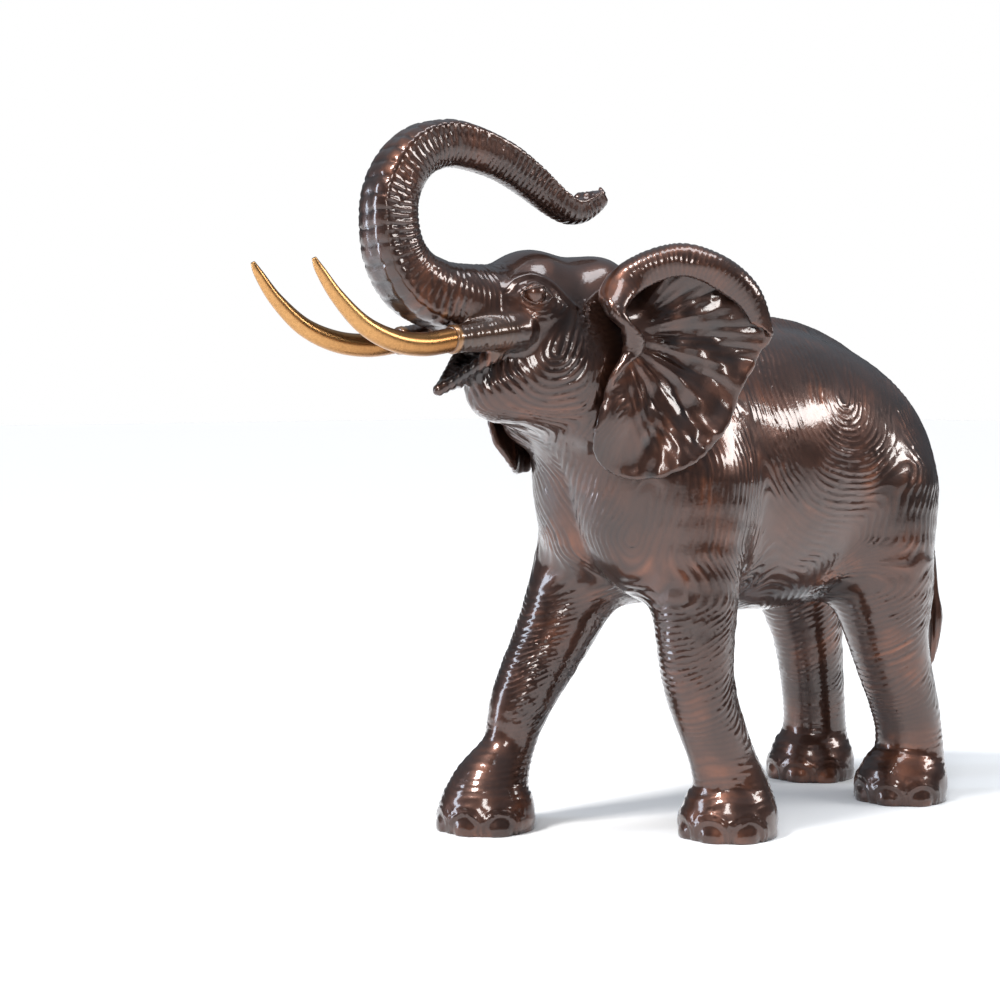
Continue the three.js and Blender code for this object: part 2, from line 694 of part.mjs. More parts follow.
const eyeball = meshOf(new THREE.IcosahedronGeometry(EYE.radius, 1).translate(...EYE.middle));
const ground = meshOf(new THREE.BoxGeometry(1000, 600, 100).translate(0, 0, -50));
const nails = LEGS.flatMap(({ sole: [x, y] }) =>
  NAIL.turns.map((degrees) => {
    const nail = new THREE.SphereGeometry(1, 7, 4).rotateX(Math.PI / 2).scale(...NAIL.radii);
    nail.translate(SOLE.radius - NAIL.sunk, 0, NAIL.height).rotateZ(radians(degrees));
    return meshOf(nail.translate(x, y, 0));
  }),
);
const paired = [ear(), eyeball, ...EYE_FOLDS.map((fold) => bar(eyeFold(fold), 1, 4))];
const tusk = bar(TUSK, 2, 10);
const socket = bar(SOCKET, 2, 10);

let casting = solidOf(thin(net(body, ...GRID, CELL), BODY_TRIANGLES));
for (const piece of [trunk(), bar(TAIL, 2, 6), ...nails, ...paired, ...paired.map(across)]) {
  casting = casting.add(solidOf(piece));
}
for (const room of [ground, socket, across(socket)]) casting = casting.subtract(solidOf(room));

const sculpture = new THREE.Group();
const add = (name, solid, finish) => {
  const mesh = new THREE.Mesh(geometryOf(solid), new THREE.MeshStandardMaterial(finish));
  mesh.name = name;
  sculpture.add(mesh);
};
add("elephant_casting", casting, BRONZE);
add("tusk_left", solidOf(tusk), GOLD_BRONZE);
add("tusk_right", solidOf(across(tusk)), GOLD_BRONZE);

const middle = new THREE.Box3().setFromObject(sculpture).getCenter(new THREE.Vector3());
sculpture.position.set(-middle.x, -middle.y, 0);

export default sculpture;
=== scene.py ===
# A large bronze elephant that walks with its trunk thrown back over its head, with two golden
# bronze tusks. Every size in a piece's section is in millimetres in the modeller's own frame: x the
# way the elephant walks, y its left, z up, from the middle of its four feet on the ground.
import math

import bmesh
import bpy
import numpy as np
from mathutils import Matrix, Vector
from mathutils.bvhtree import BVHTree


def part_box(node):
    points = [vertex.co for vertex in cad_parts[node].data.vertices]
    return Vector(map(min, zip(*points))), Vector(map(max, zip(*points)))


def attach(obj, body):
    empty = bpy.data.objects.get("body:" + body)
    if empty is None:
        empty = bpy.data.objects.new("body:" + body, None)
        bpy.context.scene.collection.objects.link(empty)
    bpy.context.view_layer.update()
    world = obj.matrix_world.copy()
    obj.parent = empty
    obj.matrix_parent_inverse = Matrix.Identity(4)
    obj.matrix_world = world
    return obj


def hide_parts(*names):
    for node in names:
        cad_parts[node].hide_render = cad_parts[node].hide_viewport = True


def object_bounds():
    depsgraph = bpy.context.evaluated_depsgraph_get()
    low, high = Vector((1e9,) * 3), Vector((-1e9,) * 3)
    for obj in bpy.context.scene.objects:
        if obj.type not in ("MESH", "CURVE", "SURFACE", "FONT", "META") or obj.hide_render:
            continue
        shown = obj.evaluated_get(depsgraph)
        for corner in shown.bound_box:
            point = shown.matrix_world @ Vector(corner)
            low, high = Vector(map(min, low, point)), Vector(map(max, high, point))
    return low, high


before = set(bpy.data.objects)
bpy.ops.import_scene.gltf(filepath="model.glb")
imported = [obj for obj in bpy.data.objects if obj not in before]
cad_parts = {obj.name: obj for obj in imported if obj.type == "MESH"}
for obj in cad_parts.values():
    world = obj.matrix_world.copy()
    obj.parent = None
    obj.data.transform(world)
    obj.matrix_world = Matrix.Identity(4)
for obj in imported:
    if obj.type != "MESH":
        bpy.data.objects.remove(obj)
cad_low, cad_high = [np.array(corner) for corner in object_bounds()]

# ---- the wax body ----------------------------------------------------------------------------------
# The body, legs and head are modelled in wax over a core, as rounded lumps pressed on to each other
# and smoothed where they meet, and are later cast in one with everything but the tusks.
TUSK_REACH = 440.4  # from the middle of the feet to the tips of the tusks
AHEAD = TUSK_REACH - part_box("tusk_left")[1][0] * 1000


def soften(rows, steps):
    """A smooth run through the rows, in equal steps between them."""
    rows = np.array(rows, float)
    padded = np.vstack([rows[:1], rows, rows[-1:]])
    run = []
    for i in range(len(rows) - 1):
        for t in np.arange(steps) / steps:
            weights = [
                ((2 - t) * t - 1) * t,
                (3 * t - 5) * t * t + 2,
                ((4 - 3 * t) * t + 1) * t,
                (t - 1) * t * t,
            ]
            run.append(np.array(weights) / 2 @ padded[i : i + 4])
    return np.array(run + [rows[-1]])


def smooth(low, high, x):
    t = np.clip((x - low) / (high - low), 0, 1)
    return t * t * (3 - 2 * t)


def join(a, b, k):
    h = np.maximum(k - np.abs(a - b), 0) / k
    return np.minimum(a, b) - h**3 * k / 6


def carve(a, b, k):
    return -join(-a, b, k)


def ball(p, middle, radius):
    return np.linalg.norm(p - np.float32(middle), axis=1) - radius


def egg(p, middle, radii):
    off = p - np.float32(middle)
    near = np.linalg.norm(off / np.float32(radii), axis=1)
    far = np.linalg.norm(off / np.float32(radii) ** 2, axis=1)
    return near * (near - 1) / np.maximum(far, 1e-6)


def cone(p, a, b):
    """A round cone between two points, each x, y, z, radius."""
    a, b = np.float32(a), np.float32(b)
    along = b[:3] - a[:3]
    off = p - a[:3]
    t = np.clip(off @ along / (along @ along), 0, 1)
    return np.linalg.norm(off - t[:, None] * along, axis=1) - (a[3] + (b[3] - a[3]) * t)


def limb(p, rows):
    d = cone(p, rows[0], rows[1])
    for a, b in zip(rows[1:-1], rows[2:]):
        d = np.minimum(d, cone(p, a, b))
    return d


SPINE = soften(
    [[70, 0, 372, 13], [10, 0, 382, 12], [-60, 0, 381, 11], [-130, 0, 355, 11], [-186, 0, 306, 12]], 3
)


def to_left(p):
    return np.abs(p) * [0, 1, 0] + p * [1, 0, 1]


def torso(p):
    side = to_left(p).astype(np.float32)
    d = egg(p, [-20, 0, 273], [174, 91, 114])
    d = join(d, egg(side, [96, 22, 262], [88, 60, 90]), 36)
    d = join(d, egg(side, [-102, 26, 256], [79, 59, 84]), 36)
    d = join(d, cone(p, [105, 0, 304, 76], [188, 0, 356, 56]), 40)
    return join(d, limb(p, SPINE), 16)


# Each leg runs from the shoulder or hip to the ankle, then to its heel and its sole.
SOLE_RIM = [11, 38]
HEEL = [30, 30]
LEGS = [
    ([[104, 50, 262, 46], [112, 62, 180, 33], [111, 66, 118, 27], [89, 68, 62, 25]], [81, 69], 3),
    ([[100, -46, 250, 46], [140, -56, 160, 32], [174, -63, 98, 24.5], [186, -66, 61, 20.5]], [205, -69], 3),
    ([[-104, 46, 250, 54], [-104, 58, 186, 43], [-114, 60, 130, 32], [-138, 60, 66, 27.5]], [-133, 59], 8),
    ([[-118, -46, 250, 54], [-130, -56, 186, 42], [-146, -57, 124, 30], [-156, -58, 60, 27]], [-154, -59], 3),
]
SOLES = [sole for _, sole, _ in LEGS]
LIMBS = [
    soften(rows + [[sole[0] - heel, sole[1], *HEEL], [*sole, *SOLE_RIM]], 5) for rows, sole, heel in LEGS
]
THIGH_FOLDS = [
    [[-62, 64, 214, 18], [-38, 54, 187, 5]],
    [[-62, -64, 214, 18], [-38, -54, 187, 5]],
    [[-128, 66, 172, 14], [-152, 67, 150, 3.5]],
]
EYE = [244.5, 31.5, 406]
EYEBALL = 8.4
SHEATH = [[256, 27, 379, 13.5], [318, 30, 372, 9.9]]
SHEATH_END = 320.5
LIP_TIP = [307, 0, 336.5, 3.6]


def head(p):
    side = to_left(p).astype(np.float32)
    d = egg(p, [180, 0, 382], [52, 50, 52])
    d = join(d, ball(side, [171, 16, 407], 27.5), 14)
    d = join(d, egg(p, [249, 0, 337], [28, 23, 24]), 10)
    d = join(d, egg(p, [222, 0, 402], [38, 35, 37]), 24)
    d = join(d, egg(side, [206, 14, 347], [50, 33, 39]), 24)
    d = join(d, limb(side, [[206, 24, 384, 18], [204, 35, 348, 19], [192, 39, 314, 17]]), 18)
    d = join(d, limb(p, [[232, 0, 392, 37], [270, 0, 396, 31], [300, 0, 403, 25]]), 16)
    d = join(d, np.maximum(cone(side, *SHEATH), p[:, 0] - SHEATH_END), 10)
    lip = join(cone(p, [268, 0, 354, 11], LIP_TIP), cone(side, [268, 19, 364, 6.5], LIP_TIP), 5)
    lip = carve(lip, cone(p, [262, 0, 378, 16], [306, 0, 347, 4]), 4)
    d = join(d, lip, 7)
    return carve(d, ball(side, [EYE[0], EYE[1] + 6, EYE[2]], EYEBALL), 3)


# Each lump, with a ball around it so that places far from it can pass it over, and its blend.
LUMPS = [(torso, [0, 0, 280], 260, 1)]
LUMPS += [(lambda p, fold=fold: cone(p, *fold), fold[1][:3], 60, 10) for fold in THIGH_FOLDS]
LUMPS += [(lambda p, rows=rows: limb(p, rows), rows[10][:3], 220, 28) for rows in LIMBS]
LUMPS += [(head, [235, 0, 390], 120, 26)]


def body(p):
    p = p.astype(np.float32)
    d = np.full(len(p), 1e6, np.float32)
    for lump, middle, reach, blend in LUMPS:
        near = ball(p, middle, reach) < d + blend
        d[near] = join(d[near], lump(p[near]), blend)
    return d


def grid_places(counts):
    return np.stack(np.meshgrid(*[np.arange(n) for n in counts], indexing="ij"), -1).reshape(-1, 3)


def skin_of(field, low, high, step, block=4):
    """A net of four-sided faces over the field's surface, sampled only in the blocks that it crosses."""
    low = np.array(low, float)
    blocks = np.ceil((np.array(high) - low) / step / block).astype(int)
    corner = grid_places(blocks) * block
    middle = field(low + (corner + (block - 1) / 2) * step)
    values = middle.reshape(blocks)
    for axis in range(3):
        values = np.repeat(values, block, axis)
    near = np.abs(middle) < block * step * 1.5
    cells = (corner[near][:, None] + grid_places([block] * 3)).reshape(-1, 3)
    values[tuple(cells.T)] = field(low + cells * step)
    inside = values < 0
    corners = grid_places([2, 2, 2])

    def window(c):
        return tuple(slice(o, n - 1 + o) for o, n in zip(c, values.shape))

    total = sum(inside[window(c)].astype(np.int8) for c in corners)
    crossed = (total > 0) & (total < 8)
    index = np.full(crossed.shape, -1)
    index[crossed] = np.arange(crossed.sum())
    at = np.argwhere(crossed)
    places, count = np.zeros((len(at), 3)), np.zeros(len(at))
    for c in corners:
        for axis in np.flatnonzero(c == 0):
            a = values[tuple((at + c).T)]
            b = values[tuple((at + c + np.eye(3, dtype=int)[axis]).T)]
            crosses = (a < 0) != (b < 0)
            crossing = np.tile(c.astype(float), (len(at), 1))
            crossing[crosses, axis] = a[crosses] / (a[crosses] - b[crosses])
            places[crosses] += crossing[crosses]
            count += crosses
    places = low + (at + places / count[:, None]) * step
    faces = []
    for axis in range(3):
        ahead, side, up = np.roll(np.eye(3, dtype=int), -axis, 0)
        here = np.argwhere(crossed)
        a = inside[tuple(here.T)]
        edge = here[(a != inside[tuple((here + ahead).T)])]
        ring = np.stack([index[tuple((edge - o).T)] for o in (0 * side, side, side + up, up)], 1)
        ring = np.where(inside[tuple(edge.T)][:, None], ring, ring[:, ::-1])
        faces.append(ring[(ring >= 0).all(1)])
    return places, np.vstack(faces).tolist()


# ---- the trunk ---------------------------------------------------------------------------------------
# Part of the casting. It rises from the face and is thrown back in a loop. Its outer, under side is
# flat with a ladder of broad bands between two sharp ridges, and fine rings run round the rest.
TRUNK = soften(
    [
        [288, 400, 24, 23], [315, 407, 24.5, 23], [331, 416, 23, 21.5], [342, 430, 21.5, 19.5],
        [347, 446, 20.5, 18], [348, 465, 20, 17], [344, 480, 19.5, 16.5], [335, 494, 19, 16],
        [323, 504, 18.3, 15.6], [310, 509, 17.7, 15.2], [295, 511, 17, 14.8], [273, 508, 16, 14],
        [248, 501, 14.6, 13.2], [225, 490, 13.2, 12.2], [208, 480, 12, 11.2], [195, 473, 11, 10.4],
        [183, 469, 10.3, 9.8], [171, 470, 9.6, 9.2], [160, 475, 8.6, 8.6], [151, 481, 7, 8],
    ],
    8,
)
TRUNK_SIDES = 96
TRUNK_STEP = 0.8
RING = 4.7  # from one fine ring to the next, and half a band of the ladder
RIDGE_AT = 0.62  # cosine of the angle of the two ridges
TRUNK_NEAR = 32  # rings are looked for no farther than this from the trunk's line
BATCH = 20000  # places that are worked out at one time


def valleys(phase, sharp=3):
    """Narrow grooves between broad rounded ridges: 0 on a ridge, 1 in a groove."""
    return (0.5 + 0.5 * np.cos(2 * np.pi * phase)) ** sharp


def waver(p, size, seed, waves=7):
    """A soft unevenness of about -1 to 1 that changes over the given size."""
    draw = np.random.default_rng(seed)
    total = np.zeros(len(p))
    for _ in range(waves):
        way = draw.normal(size=3)
        wave = way / np.linalg.norm(way) * draw.uniform(0.6, 1.4) * 2 * np.pi / size
        total += np.sin(p @ wave + draw.uniform(0, 6.3))
    return total / math.sqrt(waves)


def swept_skin(rings):
    """A closed mesh through equal rings of places, with a flat face at each end."""
    rows, sides = rings.shape[:2]
    index = np.arange(rows * sides).reshape(rows, sides)
    a, b = index[:-1], index[1:]
    quads = np.stack([a, np.roll(a, -1, 1), np.roll(b, -1, 1), b], -1).reshape(-1, 4)
    return rings.reshape(-1, 3), quads.tolist() + [index[0][::-1].tolist(), index[-1].tolist()]


def off_line(p, line):
    """How far each place is from a line of points, in any number of dimensions."""
    best = np.full(len(p), 1e9)
    for a, b in zip(np.array(line, float)[:-1], np.array(line, float)[1:]):
        t = np.clip((p - a) @ (b - a) / ((b - a) @ (b - a)), 0, 1)
        best = np.minimum(best, np.linalg.norm(p - a - t[:, None] * (b - a), axis=1))
    return best


row_lengths = np.append(0, np.cumsum(np.linalg.norm(np.diff(TRUNK[:, :2], axis=0), axis=1)))
TRUNK_S = np.arange(0, row_lengths[-1], TRUNK_STEP)
TRUNK_LINE = np.stack([np.interp(TRUNK_S, row_lengths, column) for column in TRUNK.T], 1)
TRUNK_WAY = np.gradient(TRUNK_LINE[:, :2], axis=0)
TRUNK_WAY /= np.linalg.norm(TRUNK_WAY, axis=1)[:, None]


def trunk():
    turn = 2 * np.pi * np.arange(TRUNK_SIDES) / TRUNK_SIDES
    c, d = np.cos(turn)[None, :], np.sin(turn)[None, :]
    squareness = 2.1 + 1.3 * smooth(-0.4, 0.4, c)
    size = (np.abs(c) ** squareness + np.abs(d) ** squareness) ** (-1 / squareness)
    ridge = 1.2 * np.exp(-(((c - RIDGE_AT) / 0.13) ** 2)) * smooth(0, 40, TRUNK_S)[:, None]
    x, z, deep, wide = TRUNK_LINE.T[:, :, None]
    u = (deep - 0.2 + ridge) * size * c
    v = (wide - 0.2 + ridge) * size * d
    way_x, way_z = TRUNK_WAY.T[:, :, None]
    return swept_skin(np.stack([x + way_z * u, v, z - way_x * u], -1))


def trunk_rings(p):
    """How far each place belongs to the trunk, and the height of its rings, bands and ridges."""
    on, height = np.zeros(len(p)), np.zeros(len(p))
    box = (p[:, 0] > 140) & (p[:, 2] > 370) & (np.abs(p[:, 1]) < 30)
    box[box] = off_line(p[box][:, [0, 2]], TRUNK[::4, :2]) < TRUNK_NEAR
    near = np.flatnonzero(box)
    for some in np.array_split(near, len(near) // BATCH + 1):
        q = p[some][:, [0, 2]].astype(np.float32)
        at = ((q[:, None] - TRUNK_LINE[None, :, :2].astype(np.float32)) ** 2).sum(2).argmin(1)
        s, (way_x, way_z) = TRUNK_S[at], TRUNK_WAY[at].T
        off = q - TRUNK_LINE[at, :2]
        u = (off[:, 0] * way_z - off[:, 1] * way_x) / TRUNK_LINE[at, 2]
        v = p[some, 1] / TRUNK_LINE[at, 3]
        reach, turn = np.hypot(u, v) + 1e-6, np.arctan2(v, u)
        c = u / reach
        flat = smooth(0.60, 0.74, c)
        row = s / RING + 0.25 * np.sin(s / 21 + 1) + 0.15 * np.sin(s / 8.3) * (1 - flat)
        row += 0.16 * np.sin(3 * turn + s / 30)
        fine = (0.75 + 0.3 * np.sin(s / 13 + turn)) * valleys(row, 2)
        broad = 0.75 * valleys(row / 2, 5) + 0.6 * smooth(0.93, 1, c)
        ridge = 0.7 * np.exp(-(((c - RIDGE_AT) / 0.1) ** 2)) * smooth(0, 40, s)
        on[some] = smooth(2, 16, s) * smooth(1.6, 1.35, reach)
        ends = smooth(TRUNK_S[-1], TRUNK_S[-1] - 12, s)
        height[some] = ridge - ends * ((1 - flat) * fine + flat * broad)
    return on, height


def bar(rows, steps, sides):
    """A round bar through rows of x, y, z, radius."""
    run = soften(rows, steps)
    ahead = np.gradient(run[:, :3], axis=0)
    out = np.cross(ahead, [0, 1, 0])
    out /= np.linalg.norm(out, axis=1)[:, None]
    up = np.cross(ahead, out)
    up /= np.linalg.norm(up, axis=1)[:, None]
    turn = 2 * np.pi * np.arange(sides) / sides
    spokes = np.cos(turn)[None, :, None] * out[:, None] + np.sin(turn)[None, :, None] * up[:, None]
    return swept_skin(run[:, None, :3] + run[:, 3][:, None, None] * spokes)


TRUNK_FINGER = [[156, 0, 474, 6], [151.5, 0, 480, 4.6], [150.5, 0, 485, 2.6], [152, 0, 488.5, 1.2]]
TRUNK_LIPS = [
    [[175, 3.5 * way, 474, 4], [168, 4 * way, 481, 3.6], [162, 3.5 * way, 482, 2]] for way in (1, -1)
]

# ---- the ears ----------------------------------------------------------------------------------------
# Part of the casting. Each is a thin dished sheet that stands out from the head, with a thick upper
# rim rolled forward and over, and folds that fan out from its root.
EAR = dict(
    at=[184, 44, 378],
    flare=math.radians(38),
    thick=5.4,
    roll=12.5,
    narrow=0.45,
    tail=0.5,
    curl=math.radians(215),
    middle=[48, -16],
    root=[4, -2],
)
EAR_OUTLINE = [
    [-6, 28], [6, 45], [30, 58], [56, 62], [84, 52], [106, 33], [115, 8], [112, -14], [98, -42],
    [90, -64], [70, -90], [40, -105], [14, -106], [-4, -98], [-13, -82], [-9, -58], [2, -36], [11, -12],
    [8, 4], [-2, 15],
]
EAR_RAYS = 300
EAR_ROWS = 90
EAR_LINE = 3.3  # from one line across the rolled rim to the next
EAR_LINE_DEPTH = 0.5
# Each fold: its angle from the outer side, its half width in degrees, and its height.
EAR_FOLDS = [
    (-101, 5, 2.0), (-86, 4, -1.6), (-77, 4.5, 2.8), (-67, 3.5, -2.2), (-57, 4.5, 3.2), (-47, 4, -2.0),
    (-37, 4.5, 2.6), (-26, 4, -1.8), (-16, 5, 2.2), (-3, 5, -1.4), (9, 6, 1.6), (24, 6, -1.2), (38, 6, 1.4),
]


def ear_height(s, t):
    ds, dt = s - EAR["root"][0], t - EAR["root"][1]
    angle = np.degrees(np.arctan2(dt, ds))
    reach = np.hypot(ds, dt)
    bend = 7 * np.sin(reach / 26)
    folds = sum(h * np.exp(-(((angle - a - bend) / w) ** 2)) for a, w, h in EAR_FOLDS)
    folds = folds * smooth(12, 48, reach) * (0.75 + 0.25 * np.sin(reach / 9 + angle / 7))
    front = 25 * smooth(52, -2, s) * smooth(-106, -54, t) * smooth(42, 6, t)
    off = np.hypot(s - EAR["middle"][0], t - EAR["middle"][1])
    return 0.0016 * off**2 - 7 - 0.05 * t + front + folds


def even_outline(points, count):
    """The closed curve through the points, in so many equal steps."""
    looped = np.array(points[-2:] + points + points[:3], float)
    run = soften(looped, 12)[24:-24]
    lengths = np.append(0, np.cumsum(np.linalg.norm(np.diff(run, axis=0), axis=1)))
    wanted = np.arange(count) / count * lengths[-1]
    return np.stack([np.interp(wanted, lengths, run[:, axis]) for axis in range(2)], 1)


def ear():
    rim = even_outline(EAR_OUTLINE, EAR_RAYS)
    s0, t0 = EAR["middle"]
    around = np.arctan2(rim[:, 1] - t0, rim[:, 0] - s0)[:, None]
    around = np.where(around < -math.pi / 2, around + 2 * math.pi, around)
    rolled = smooth(0, math.radians(25), around) * smooth(math.radians(222), math.radians(176), around)
    narrow, tail = EAR["narrow"], EAR["tail"]
    radius = EAR["roll"] * (narrow + (1 - narrow) * smooth(math.radians(5), math.radians(60), around))
    radius = radius * (1 - (1 - tail) * smooth(math.radians(125), math.radians(185), around))
    reach = np.hypot(rim[:, 0] - s0, rim[:, 1] - t0)[:, None]
    half = EAR["thick"] / 2
    flat = reach - radius * rolled
    whole = flat - half * (1 - rolled) + radius * EAR["curl"] * rolled
    along = whole * np.linspace(0.01, 1, EAR_ROWS)[None, :]
    angle = np.maximum(along - flat, 0) / radius
    out = (np.minimum(along, flat) + radius * np.sin(angle)) / reach
    s = s0 + (rim[:, :1] - s0) * out
    t = t0 + (rim[:, 1:] - t0) * out
    n = ear_height(s, t) + radius * (1 - np.cos(angle))
    flare = EAR["flare"]
    x = EAR["at"][0] - s * math.cos(flare) + n * math.sin(flare)
    y = EAR["at"][1] + s * math.sin(flare) + n * math.cos(flare)
    sheet = np.stack([x, y, EAR["at"][2] + t], -1)
    step_out = np.gradient(sheet, axis=1)
    step_round = (np.roll(sheet, -1, 0) - np.roll(sheet, 1, 0)) / 2
    normal = np.cross(step_out, step_round)
    normal /= np.linalg.norm(normal, axis=2)[..., None]
    edge = step_out[:, -1] / np.linalg.norm(step_out[:, -1], axis=1)[:, None]
    front, back = sheet - normal * half, sheet + normal * half
    turns = np.radians([30, 60, 90, 120, 150])
    brim = [sheet[:, -1] + half * (edge * math.sin(a) - normal[:, -1] * math.cos(a)) for a in turns]
    rings = [*front.transpose(1, 0, 2), *brim, *back.transpose(1, 0, 2)[::-1]]
    return swept_skin(np.array(rings))


def ear_lines(p):
    """How far each place belongs to an ear, and the height of the fine lines on its sheet and roll."""
    side = to_left(p)
    dx, dy = side[:, 0] - EAR["at"][0], side[:, 1] - EAR["at"][1]
    c, s_flare = math.cos(EAR["flare"]), math.sin(EAR["flare"])
    s, n, t = dy * s_flare - dx * c, dx * s_flare + dy * c, side[:, 2] - EAR["at"][2]
    over = n - ear_height(s, t)
    on = smooth(6, 16, s) * smooth(-10, -7, over) * smooth(38, 32, over)
    on *= smooth(-114, -108, t) * smooth(76, 68, t) * smooth(126, 120, s)
    root_s, root_t = EAR["root"]
    angle = np.degrees(np.arctan2(t - root_t, s - root_s))
    reach = np.hypot(s - root_s, t - root_t)
    fine = 0.55 * valleys(angle / 6.3 + 0.35 * waver(p, 45, 21), 2) * smooth(16, 45, reach)
    dent = 0.5 * waver(p, 17, 22) * smooth(20, 50, reach)
    on_roll = smooth(4, 9, over)
    around = np.arctan2(t - EAR["middle"][1], s - EAR["middle"][0])
    lines = EAR_LINE_DEPTH * valleys(around * 60 / EAR_LINE + 0.25 * waver(p, 30, 23), 2)
    return on, -lines * on_roll + (dent - fine) * (1 - on_roll)


# ---- the tail, eyes and toenails --------------------------------------------------------------------
# Part of the casting too. The tail hangs free of the rump and ends in a tuft, the eyes are balls set
# in their sockets, and four rounded nails stand on the front of each foot.
TAIL = [
    [-168, 0, 318, 12], [-196, 0, 306, 9], [-215, 1, 278, 6.5], [-228, 3, 238, 5], [-233, 6, 190, 4.5],
    [-235, 8, 160, 4.6], [-236, 9, 138, 6.8], [-233, 9, 112, 4.6], [-230, 8, 92, 1.2],
]
NAIL_RADII = np.array([4.6, 9.8, 9.6])
NAIL_HEIGHT = 4
NAIL_OUT = 35.4
NAIL_TURNS = np.radians([-66, -23, 23, 66])
NAIL_RIDGES = [(1.42, 1.1), (1.8, 0.8)]  # how far out, in radii of the nail, and how high
NAIL_RIDGE = 0.14  # half the width of a ridge, in radii of the nail
TUFT = [-235, 8]
TUFT_LOCKS = 9


def lump(middle, radii, turn=0):
    """A ball stretched to the radii and turned about the upright."""
    made = bmesh.new()
    bmesh.ops.create_uvsphere(made, u_segments=40, v_segments=24, radius=1)
    places = np.array([v.co for v in made.verts]) * radii
    faces = [[v.index for v in f.verts] for f in made.faces]
    made.free()
    c, s = math.cos(turn), math.sin(turn)
    return places @ np.array([[c, s, 0], [-s, c, 0], [0, 0, 1]]) + middle, faces


def nail_places():
    for x, y in SOLES:
        for turn in NAIL_TURNS:
            yield np.array([x + NAIL_OUT * math.cos(turn), y + NAIL_OUT * math.sin(turn), NAIL_HEIGHT]), turn


# ---- the tooled skin ---------------------------------------------------------------------------------
# Before casting the wax is combed all over with a toothed tool: whorls run down the flanks, round the
# shoulders and under the cheeks, rings run round the ankles, and folds gather about the eyes.
WHORLS = [
    ([[-71, 6, 392], [-58, 50, 372], [-44, 72, 350], [-35, 82, 330]], 0),
    ([[165, 52, 226], [166, 80, 279]], 8),
    ([[-150, 60, 305], [-158, 66, 262], [-140, 78, 225]], 10),
    ([[217, 40, 395], [233, 42, 364]], 0),
]
COMB = 4.9  # from one groove of the comb to the next
COMB_DEPTH = 0.72
SPINE_LINE = 4.1
SPINE_DEPTH = 0.8
SHEATH_RING = 3.1
SHEATH_DEPTH = 0.6
COLLAR_HEIGHT = 0.4
LEG_TOP = 234  # where the strokes down a leg begin


def nearest_leg(p):
    """For each place, how far it is from the nearest leg's line, and that line's x at its height."""
    gap, line_x = np.full(len(p), 1e9), np.zeros(len(p))
    for rows in LIMBS:
        order = np.argsort(rows[:, 2])
        x, y = [np.interp(p[:, 2], rows[order, 2], rows[order, axis]) for axis in (0, 1)]
        off = np.hypot(p[:, 0] - x, p[:, 1] - y)
        nearer = off < gap
        gap[nearer], line_x[nearer] = off[nearer], x[nearer]
    return gap, line_x


# The folds about the eye: points forward of its middle and above it, the fold's height and half width.
EYE_FOLDS = [
    ([[24, 2], [15, 8.4], [1, 12.6], [-7, 11], [-15, 6], [-23, -2.4], [-29, -9.6]], 1.7, 1.9),
    ([[11, 4.6], [1, 8], [-9, 6], [-18, -2.4]], 0.8, 1.1),
    ([[14.5, -2.4], [11, 1.4], [1, 5.4], [-9, 3], [-14.5, -3.6]], 1.3, 1.2),
    ([[24, -2.4], [18, -3.6], [12, -2.6]], 1.0, 1.4),
    ([[12, -3.4], [7, -6.6], [-2, -8.4], [-10, -6.4], [-13.5, -3.6]], 1.1, 1.1),
    ([[14, -6.5], [8, -10.4], [-2, -12.4], [-12, -9.8], [-17, -5.4]], 1.0, 1.2),
    ([[14, -10.6], [7, -14.2], [-3, -16], [-14, -12.6], [-20, -7.4]], 0.9, 1.3),
    ([[11, -15.6], [4, -18.4], [-6, -19.2], [-17, -15], [-23, -9]], 0.7, 1.4),
]


def tooling(p):
    """The height that the tool leaves at each place, and the phase of its strokes."""
    side = to_left(p)
    x, y, z = side.T
    distances = [off_line(side, line) + lift for line, lift in WHORLS]
    comb = join(join(distances[0], distances[1], 26), distances[2], 26)
    face = smooth(196, 216, x) * smooth(300, 325, z)
    comb = comb * (1 - face) + (distances[3] * 0.9 + 26) * face
    gap, leg_x = nearest_leg(p)
    on_leg = smooth(222, 172, z) * smooth(75, 52, gap)
    behind = leg_x - p[:, 0]
    droop = z - 0.55 * behind - 0.022 * np.maximum(behind + 4, 0) ** 2
    ankle = smooth(95, 60, z)
    droop = droop * (1 - ankle) + (z - 0.1 * behind) * ankle
    comb = comb * (1 - on_leg) + (LEG_TOP - droop) * on_leg
    on_root = smooth(250, 266, x) * smooth(366, 384, z)
    comb = comb * (1 - on_root) + (x - 226) * COMB / RING * on_root
    wander = 2.2 * waver(p, 70, 3) + 0.8 * waver(p, 24, 4)
    phase = (comb + wander) / COMB
    strength = np.clip(0.68 + 0.3 * waver(p, 45, 5) + 0.15 * on_leg, 0.2, 1.15)
    strength = strength * (1 + 0.45 * face * (1 - on_root)) * (1 - 0.35 * ankle * on_leg)
    bald = smooth(394, 408, z) * smooth(264, 246, x) * smooth(150, 165, x)
    foot = smooth(30, 20, z)
    depth = COMB_DEPTH * strength * (1 - bald) * (1 - 0.75 * foot)
    height = -depth * valleys(phase, 1.7)
    height += 0.3 * depth * waver(p, 13, 6) * valleys(phase + 0.5, 1)
    on_spine = smooth(15, 9, y) * smooth(300, 330, z) * smooth(90, 70, x)
    height = height * (1 - on_spine) - SPINE_DEPTH * on_spine * valleys(x / SPINE_LINE, 2)
    return height, phase


def sheath_rings(p):
    """How far each place is on a sheath and on its collar, and the height of the rings there."""
    x, y, z = to_left(p).T
    on = smooth(262, 270, x) * smooth(SHEATH_END, SHEATH_END - 1.5, x) * smooth(19, 24, y)
    on *= smooth(394, 388, z) * smooth(354, 360, z)
    collar = smooth(315, 316, x)
    rings = -SHEATH_DEPTH * valleys(x / SHEATH_RING, 1.5) * (1 - collar) + COLLAR_HEIGHT * collar
    return on, collar, on * rings


